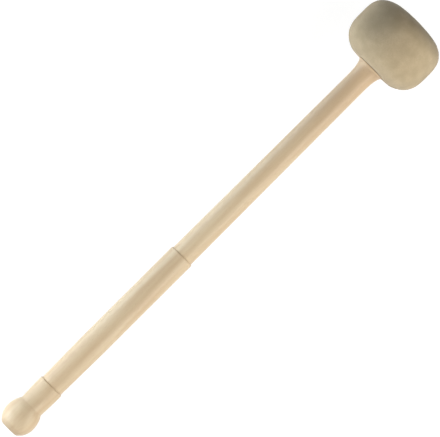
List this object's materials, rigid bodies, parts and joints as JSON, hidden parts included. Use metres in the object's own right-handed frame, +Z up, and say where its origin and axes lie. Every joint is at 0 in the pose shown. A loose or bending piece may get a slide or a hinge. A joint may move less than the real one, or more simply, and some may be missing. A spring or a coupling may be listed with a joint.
{
  "type": "drum mallet",
  "caption": "Drum mallet with a turned maple handle, a butt knob and a rounded felt head, lying on its knob and head.",
  "frame": {"origin": "centre of the bounding box in x and y, on the surface the mallet lies on", "axes": "+X towards the head, +Z up; the handle's own axis rises 3.04 degrees towards the head"},
  "size_m": [0.3764, 0.0598, 0.0598],
  "materials": {
    "maple": "satin",
    "beech": "matte",
    "cover_felt": "matte",
    "pad_felt": "matte",
    "thread": "satin",
    "steel": "satin"
  },
  "bodies": {
    "root": {"handle": "maple", "felt_cover": "cover_felt", "draw_thread": "thread", "base_pad": "pad_felt", "core": "beech", "side_wrap": "pad_felt", "crown_pad": "pad_felt", "core_screw": "steel", "screw_washer": "steel"}
  },
  "joints": []
}
